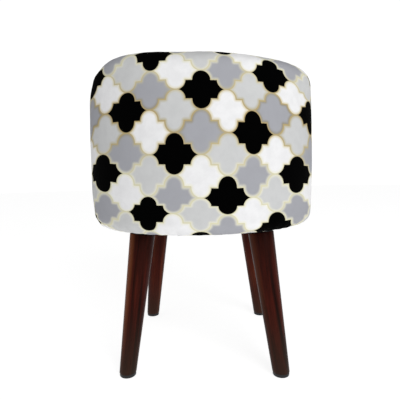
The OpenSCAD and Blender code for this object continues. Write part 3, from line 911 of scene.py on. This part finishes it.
class FOOTSTOOL_OT_padding(bpy.types.Operator):
    """Crowned seat pad and the foam wrapped round the wall"""
    bl_idname = "footstool.padding"
    bl_label = "Padding"

    def execute(self, context):
        drum = context.scene.footstool_drum
        foam = cut_foam()
        skin = drum_line(drum, drum.cloth + drum.ease)
        wall = drum.wall + drum.ease
        top = [(r, z - bell(r, drum.seam, 3.2 * MM) * 4.2 * MM)
               for r, z in evenly([p for p in skin if p[1] >= drum.pad], 4 * MM)]
        pad = lathe(top + [(0.0, drum.pad), (top[0][0], drum.pad)], 180)
        corner = [e for e in pad.edges
                  if all(abs(v.co.z - drum.pad) < 1e-6 and radius_of(v.co) > 0.17 for v in e.verts)]
        round_edges(pad, corner, 1.2 * MM)
        side = evenly([p for p in skin if p[1] <= drum.pad and p[0] >= wall], 5 * MM)
        ring = lathe(side + [(wall, drum.pad)], 180, closed=True)
        for name, node, bm, bottom in (("seat_foam", "seat_pad", pad, drum.pad),
                                       ("side_foam", "side_padding", ring, -1.0)):
            self.fill_out(bm, drum, bottom)
            piece = new_piece(name, bm, foam, sharp=40, lift=UNDERSIDE)
            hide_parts(node)
        return {"FINISHED"}

    def fill_out(self, bm, drum, bottom):
        """Lets the foam's outer side follow the cover's swell, with its bottom and its bore left alone."""
        bm.normal_update()
        for v in bm.verts:
            if v.co.z > bottom + 4 * MM and v.normal.dot(Vector((v.co.x, v.co.y, v.co.z - 0.1))) > 0:
                v.co += pushed(v, drum)


class FOOTSTOOL_OT_lining(bpy.types.Operator):
    """Black lining stapled under the base, stepping down over the cover's hem"""
    bl_idname = "footstool.lining"
    bl_label = "Lining"

    def execute(self, context):
        drum = context.scene.footstool_drum
        step = drum.hem - drum.ease
        flat = drum.board - drum.lining
        low = -drum.lining
        line = [(r * MM, flat) for r in range(0, 144, 4)]
        line += [(step - 5 * MM, flat), (step - 3 * MM, flat * 0.8), (step - 1.5 * MM, flat * 0.35),
                 (step - 0.2 * MM, low * 0.9), (step + 1.6 * MM, low), (step + 4 * MM, low),
                 (drum.lining_radius, low)]
        bm = lathe(line, 160)
        face_away(bm, FAR_ABOVE)
        legs = [Matrix.Rotation(radians(a), 3, "Z") @ Vector((context.scene.footstool_legs.circle, 0, 0))
                for a in LEG_TURN.values()]
        for v in bm.verts:
            x, y, _ = v.co
            r = radius_of(v.co)
            near = min((Vector((x, y, 0)) - leg).length for leg in legs)
            free = within((step - 8 * MM - r) / 0.03) * within((near - 0.036) / 0.03)
            sag = 1.3 * MM + 0.9 * MM * noise.noise(Vector((x / 0.05, y / 0.05, 4)))
            crease = 0.35 * MM * ripple(atan2(y, x), 40, 11.0) * min(1.0, r / 0.06)
            v.co.z -= free * (sag + crease)
        piece = new_piece("underside_lining", bm, lining_cloth(), lift=UNDERSIDE)
        thicken(piece, "cloth_thickness", drum.lining)
        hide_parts("lining")
        return {"FINISHED"}


# Painted highlight of each leg, a pale streak down one side: where it faces, in degrees from the stool's
# outer side, and how strong it is
PAINTED_HIGHLIGHT_SIDE = {"front_left": (-16, 1.0), "front_right": (-102, 0.82),
                "back_left": (-60, 0.92), "back_right": (60, 0.9)}


def leg_place(legs, turn):
    """Frame of a leg's station: its origin on the underside, +X away from the drum's axis."""
    return (Matrix.Translation((0, 0, UNDERSIDE)) @ Matrix.Rotation(radians(turn), 4, "Z")
            @ Matrix.Translation((legs.circle, 0, 0)))


class FOOTSTOOL_OT_legs(bpy.types.Operator):
    """Four turned and tapered legs, cut level at the foot"""
    bl_idname = "footstool.legs"
    bl_label = "Legs"

    def execute(self, context):
        legs = context.scene.footstool_legs
        wood = stained_wood(legs)
        lean = Matrix.Rotation(-legs.splay, 4, "Y")
        reach = UNDERSIDE / cos(legs.splay)
        top_r, foot_r = legs.top_width / 2, legs.foot_width / 2
        ease = 1.1 * MM
        line = [(BOLT_HOLE, -legs.seat - 12 * MM), (BOLT_HOLE, -legs.seat)]
        line += [(top_r - ease + ease * sin(a), -legs.seat - ease + ease * cos(a)) for a in quarter(4)]
        fall = reach - legs.seat - ease
        line += [(top_r + (foot_r - top_r) * k / 16, -legs.seat - ease - fall * k / 16)
                 for k in range(1, 17)]
        line.append((foot_r - foot_r * (top_r - foot_r) / fall, -reach - foot_r))
        for count, (corner, turn) in enumerate(LEG_TURN.items()):
            bm = lathe(line, 72)
            grain = bm.verts.layers.float_vector.new("grain")
            painted_highlight = bm.verts.layers.float_vector.new("painted_highlight")
            place = leg_place(legs, turn) @ lean
            bmesh.ops.transform(bm, matrix=place, verts=bm.verts)
            cut = bmesh.ops.bisect_plane(bm, geom=bm.verts[:] + bm.edges[:] + bm.faces[:], dist=1e-6,
                                         plane_co=(0, 0, legs.glide_height), plane_no=(0, 0, -1),
                                         clear_outer=True)
            rim = only(bmesh.types.BMEdge, cut["geom_cut"])
            made = bmesh.ops.edgeloop_fill(bm, edges=rim)
            bmesh.ops.inset_region(bm, faces=made["faces"], thickness=0.5 * MM, depth=0.0)
            round_edges(bm, rim, 0.45 * MM)
            bmesh.ops.recalc_face_normals(bm, faces=bm.faces)
            back = place.inverted()
            facing, strength = PAINTED_HIGHLIGHT_SIDE[corner]
            for v in bm.verts:
                own = back @ v.co
                v[grain] = own + Vector((0.31 * count, 0.17 * count, 0.9 * count))
                # Strength of the painted highlight at each vertex, greatest on the side that it faces
                v[painted_highlight] = (strength * cos(atan2(own.y, own.x) - radians(facing)), 0, 0)
            piece = new_piece("turned_leg_" + corner, bm, wood, sharp=35)
            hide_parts("leg_" + corner)
        return {"FINISHED"}


class FOOTSTOOL_OT_glides(bpy.types.Operator):
    """Nail-on plastic glides under the feet"""
    bl_idname = "footstool.glides"
    bl_label = "Glides"

    def execute(self, context):
        legs = context.scene.footstool_legs
        plastic = black_plastic()
        r, h = legs.glide_width / 2, legs.glide_height
        edge = 1.0 * MM
        line = [(NAIL_HOLE, h), (r - 0.3 * MM, h), (r, h - 0.3 * MM)]
        line += [(r - edge + edge * cos(a), edge - edge * sin(a)) for a in quarter(5)]
        line += [(3.7 * MM, 0), (3.3 * MM, 0.4 * MM), (3.3 * MM, 2.2 * MM), (NAIL_HOLE, 2.2 * MM)]
        foot_x = (UNDERSIDE - h) * tan(legs.splay)
        for corner, turn in LEG_TURN.items():
            bm = lathe(line, 56, closed=True)
            place = leg_place(legs, turn) @ Matrix.Translation((foot_x, 0, -UNDERSIDE))
            bmesh.ops.transform(bm, matrix=place, verts=bm.verts)
            piece = new_piece("foot_glide_" + corner, bm, plastic, sharp=35)
            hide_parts("glide_" + corner)
        return {"FINISHED"}


def flange_height(context):
    """Height of the leg plates' lower face above the drum's underside."""
    drum = context.scene.footstool_drum
    return drum.board - drum.lining - context.scene.footstool_legs.plate_gauge


class FOOTSTOOL_OT_plates(bpy.types.Operator):
    """Pressed steel leg plates with an angled boss"""
    bl_idname = "footstool.plates"
    bl_label = "Leg plates"

    def execute(self, context):
        legs = context.scene.footstool_legs
        steel = plated_steel("zinc_plated_plate", "9A9DA1", "73767B", 60.0, 0.28, 0.42)
        for corner, turn in LEG_TURN.items():
            bm = self.plate(legs, flange_height(context))
            bmesh.ops.transform(bm, matrix=leg_place(legs, turn), verts=bm.verts)
            piece = new_piece("pressed_plate_" + corner, bm, steel, sharp=50)
            thicken(piece, "steel_gauge", legs.plate_gauge)
            edge = piece.modifiers.new("pressed_edges", "BEVEL")
            edge.width = 0.35 * MM
            edge.segments = 2
            edge.limit_method = "ANGLE"
            edge.angle_limit = radians(55)
            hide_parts("leg_plate_" + corner)
        return {"FINISHED"}

    def plate(self, legs, under):
        """Outer face of one plate at its station, from its rounded square edge to the hole in its boss."""
        half, corner, count = legs.plate_width / 2, legs.plate_corner, 64
        lean = Matrix.Rotation(-legs.splay, 4, "Y")
        foot_x = (lean @ Vector((0, 0, under / cos(legs.splay)))).x
        bm = bmesh.new()
        step = bm.verts.layers.int.new("step")
        circle = bmesh.ops.create_circle(bm, cap_ends=False, radius=1.0, segments=count)["verts"]
        edges = list({e for v in circle for e in v.link_edges})
        for v in bm.verts:
            v[step] = round(atan2(v.co.y, v.co.x) / TAU * count) % count

        def outline(a, shrink=0.0):
            c, s = cos(a), sin(a)
            reach = (half - shrink) / max(abs(c), abs(s))
            x, y = reach * c, reach * s
            inner = half - corner
            if abs(x) > inner and abs(y) > inner:
                dx, dy = abs(x) - inner, abs(y) - inner
                k = (corner - shrink) / hypot(dx, dy)
                x, y = copysign(inner + dx * k, x), copysign(inner + dy * k, y)
            return Vector((x, y, under))

        def on_flange(wider, drop=0.0):
            radius = legs.boss_width / 2 + wider * MM
            return lambda a: (Vector((foot_x + radius * cos(a) / cos(legs.splay),
                                      radius * sin(a), under)) + lean @ Vector((0, 0, -drop * MM)))

        def on_boss(radius, short=0.0):
            depth = legs.seat - short * MM
            return lambda a: lean @ Vector((radius * cos(a), radius * sin(a), -depth))

        boss = legs.boss_width / 2
        rings = (outline, lambda a: outline(a, 3.0 * MM), on_flange(2.2), on_flange(1.1),
                 on_flange(0.35, 0.45), on_flange(0.0, 1.3), on_boss(boss, 1.8),
                 on_boss(boss - 0.5 * MM, 0.6), on_boss(boss - 1.7 * MM), on_boss(boss - 6.0 * MM),
                 on_boss(BOLT_HOLE))
        for n, place_at in enumerate(rings):
            if n:
                edges = only(bmesh.types.BMEdge, bmesh.ops.extrude_edge_only(bm, edges=edges)["geom"])
            for v in {v for e in edges for v in e.verts}:
                v.co = place_at(TAU * (v[step] + 0.5) / count)
        bmesh.ops.recalc_face_normals(bm, faces=bm.faces)
        face_away(bm, FAR_ABOVE)
        return bm


class FOOTSTOOL_OT_plate_screws(bpy.types.Operator):
    """Pan-head screws with cross recesses that hold the leg plates"""
    bl_idname = "footstool.plate_screws"
    bl_label = "Plate screws"

    def execute(self, context):
        legs = context.scene.footstool_legs
        whole = bmesh.new()
        kit = mesh_of("screw_kit", self.screw())
        for n, turn in enumerate(LEG_TURN.values()):
            for sx, sy in ((-1, -1), (-1, 1), (1, -1), (1, 1)):
                driven = Matrix.Rotation(0.7 * n + 1.9 * sx + 2.3 * sy, 4, "Z")
                at = Matrix.Translation((sx * legs.hole_pitch / 2, sy * legs.hole_pitch / 2,
                                         flange_height(context)))
                fresh = len(whole.verts)
                whole.from_mesh(kit)
                whole.verts.ensure_lookup_table()
                place = leg_place(legs, turn) @ at @ driven
                bmesh.ops.transform(whole, matrix=place, verts=whole.verts[fresh:])
        bpy.data.meshes.remove(kit)
        zinc = plated_steel("zinc_plated_screws", "BDB9A6", "8F8B7C", 180.0, 0.22, 0.36)
        piece = new_piece("plate_screw_set", whole, zinc, sharp=38)
        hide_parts("plate_screws")
        return {"FINISHED"}

    def screw(self):
        """One screw with its head's underside at the origin, its head downwards and its point upwards."""
        shape = [(0, 14.0), (0.6, 13.0), (1.9, 10.2), (1.9, 0.4), (2.1, 0), (3.9, 0), (4.0, -0.25),
                 (3.85, -0.9), (3.4, -1.55), (2.75, -2.0), (2.3, -2.2)]
        bm = lathe([(r * MM, z * MM) for r, z in shape], 24)
        rim = [e for e in bm.edges if e.is_boundary]
        arm, half, face = 1.75 * MM, 0.42 * MM, shape[-1][1] * MM
        slot = [bm.verts.new(Matrix.Rotation(turn * pi / 2, 3, "Z") @ Vector((x, y, face)))
                for turn in range(4) for x, y in ((arm, -half), (arm, half), (half, half))]
        slot_edges = [bm.edges.new(pair) for pair in zip(slot, slot[1:] + slot[:1])]
        bmesh.ops.bridge_loops(bm, edges=rim + slot_edges)
        floor = bm.faces.new(slot)
        sunk = only(bmesh.types.BMVert, bmesh.ops.extrude_face_region(bm, geom=[floor])["geom"])
        bmesh.ops.translate(bm, vec=(0, 0, 1.3 * MM), verts=sunk)
        bmesh.ops.scale(bm, vec=(0.62, 0.62, 1.0), verts=sunk)
        if floor.is_valid:
            bmesh.ops.delete(bm, geom=[floor], context="FACES_ONLY")
        bmesh.ops.recalc_face_normals(bm, faces=bm.faces)
        return bm


class FOOTSTOOL_OT_frame_finishes(bpy.types.Operator):
    """Finishes for the frame's own boards, posts, wall, bolts, tacks, nails and staples"""
    bl_idname = "footstool.frame_finishes"
    bl_label = "Frame finishes"

    def execute(self, context):
        ply = board_wood("sanded_plywood", "D9B98A", "B98F5C", (14, 120, 90), True)
        pine = board_wood("sawn_softwood", "DDBE8C", "B88A52", (160, 160, 9), False)
        zinc = plated_steel("zinc_plated_bolts", "BDB9A6", "8F8B7C", 160.0, 0.24, 0.38)
        bright = plated_steel("bright_wire", "C9C9C6", "9C9C9A", 220.0, 0.2, 0.34)
        for finish, names in (
                (ply, "base_board top_board"), (hard_board(), "wall_panel"),
                (pine, "post_front post_left post_back post_right"), (zinc, "hanger_bolts post_screws"),
                (bright, "glide_nails wall_tacks hem_staples_group lining_staples_group")):
            for name in names.split():
                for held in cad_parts[name].material_slots:
                    held.material = finish
        return {"FINISHED"}


class FOOTSTOOL_OT_stage(bpy.types.Operator):
    """Plain pale floor, soft light from all sides and a camera at the photograph's angle"""
    bl_idname = "footstool.stage"
    bl_label = "Stage"

    def execute(self, context):
        scene = context.scene
        look = scene.footstool_stage
        bm = bmesh.new()
        bmesh.ops.create_circle(bm, cap_ends=True, radius=9.0, segments=96)
        floor = added("studio_floor", mesh_of("studio_floor", bm))
        floor.data.materials.append(floor_paint(look))
        scene.world = self.surround(look)
        self.soft_light("key_softbox", (1.1, -2.06, 1.5), 1.6, look.key)
        self.soft_light("side_softbox", (-2.0, -0.9, 0.9), 1.2, look.rim)
        self.camera(scene, look)
        scene.view_settings.view_transform = "Standard"
        scene.view_settings.look = "None"
        scene.view_settings.exposure = 0.0
        scene.view_settings.gamma = 1.0
        return {"FINISHED"}

    def surround(self, look):
        """Even light from all sides, which the camera sees as white."""
        world = bpy.data.worlds.new("even_surround")
        world.use_nodes = True
        tree = world.node_tree
        tree.nodes.clear()
        lit, seen = [put_node(tree, "ShaderNodeBackground", Color=WHITE, Strength=strength)
                     for strength in (look.sky, 1.05)]
        to_camera = put_node(tree, "ShaderNodeLightPath").outputs["Is Camera Ray"]
        put_node(tree, "ShaderNodeOutputWorld", Surface=either_shader(tree, to_camera, lit, seen))
        return world

    def soft_light(self, name, place, size, power):
        data = bpy.data.lights.new(name, "AREA")
        data.shape = "DISK"
        data.size = size
        data.energy = power
        lamp = added(name, data)
        lamp.location = place
        lamp.rotation_mode = "QUATERNION"
        lamp.rotation_quaternion = (Vector((0, 0, 0.25)) - Vector(place)).to_track_quat("-Z", "Y")

    def camera(self, scene, look):
        """The photograph's viewpoint: a little above the drum's underside and close to the stool."""
        round_by, yaw, pitch, roll = 0.015, 0.0187, -0.0671, -0.0225
        place = (0.00731, -0.59864, 0.28639)
        data = bpy.data.cameras.new("photo_camera")
        data.sensor_width = 36.0
        data.lens = look.lens
        data.clip_start = 0.01
        camera = added("photo_camera", data)
        camera.matrix_world = (Matrix.Rotation(round_by, 4, "Z") @ Matrix.Translation(place)
                               @ Matrix.Rotation(yaw, 4, "Z") @ Matrix.Rotation(pi / 2 + pitch, 4, "X")
                               @ Matrix.Rotation(roll, 4, "Z"))
        scene.camera = camera


class FOOTSTOOL_PT_panel(bpy.types.Panel):
    """The stool's pieces in the order in which they are made"""
    bl_idname = "FOOTSTOOL_PT_panel"
    bl_label = "Footstool"
    bl_space_type = "VIEW_3D"
    bl_region_type = "UI"
    bl_category = "Footstool"

    def draw(self, context):
        for name in GROUPS:
            box = self.layout.box()
            settings = getattr(context.scene, name)
            box.label(text=name.replace("_", " ").capitalize())
            for prop in settings.bl_rna.properties:
                if prop.identifier not in ("rna_type", "name"):
                    box.prop(settings, prop.identifier)
        for maker in MAKERS:
            self.layout.operator(maker.bl_idname)


GROUPS = {
    "footstool_drum": FootstoolDrum,
    "footstool_print": FootstoolPrint,
    "footstool_legs": FootstoolLegs,
    "footstool_stage": FootstoolStage,
}
MAKERS = (
    FOOTSTOOL_OT_frame_finishes,
    FOOTSTOOL_OT_stuff_crown,
    FOOTSTOOL_OT_padding,
    FOOTSTOOL_OT_cover_band,
    FOOTSTOOL_OT_cover_crown,
    FOOTSTOOL_OT_lining,
    FOOTSTOOL_OT_legs,
    FOOTSTOOL_OT_glides,
    FOOTSTOOL_OT_plates,
    FOOTSTOOL_OT_plate_screws,
    FOOTSTOOL_OT_stage,
)


def register():
    for kind in (*GROUPS.values(), *MAKERS, FOOTSTOOL_PT_panel):
        bpy.utils.register_class(kind)
    for name, kind in GROUPS.items():
        setattr(bpy.types.Scene, name, bpy.props.PointerProperty(type=kind))


def unregister():
    for name in GROUPS:
        delattr(bpy.types.Scene, name)
    for kind in (FOOTSTOOL_PT_panel, *reversed(MAKERS), *reversed(list(GROUPS.values()))):
        bpy.utils.unregister_class(kind)


def main():
    register()
    for maker in MAKERS:
        group, name = maker.bl_idname.split(".")
        getattr(getattr(bpy.ops, group), name)()


if __name__ == "__main__":
    main()
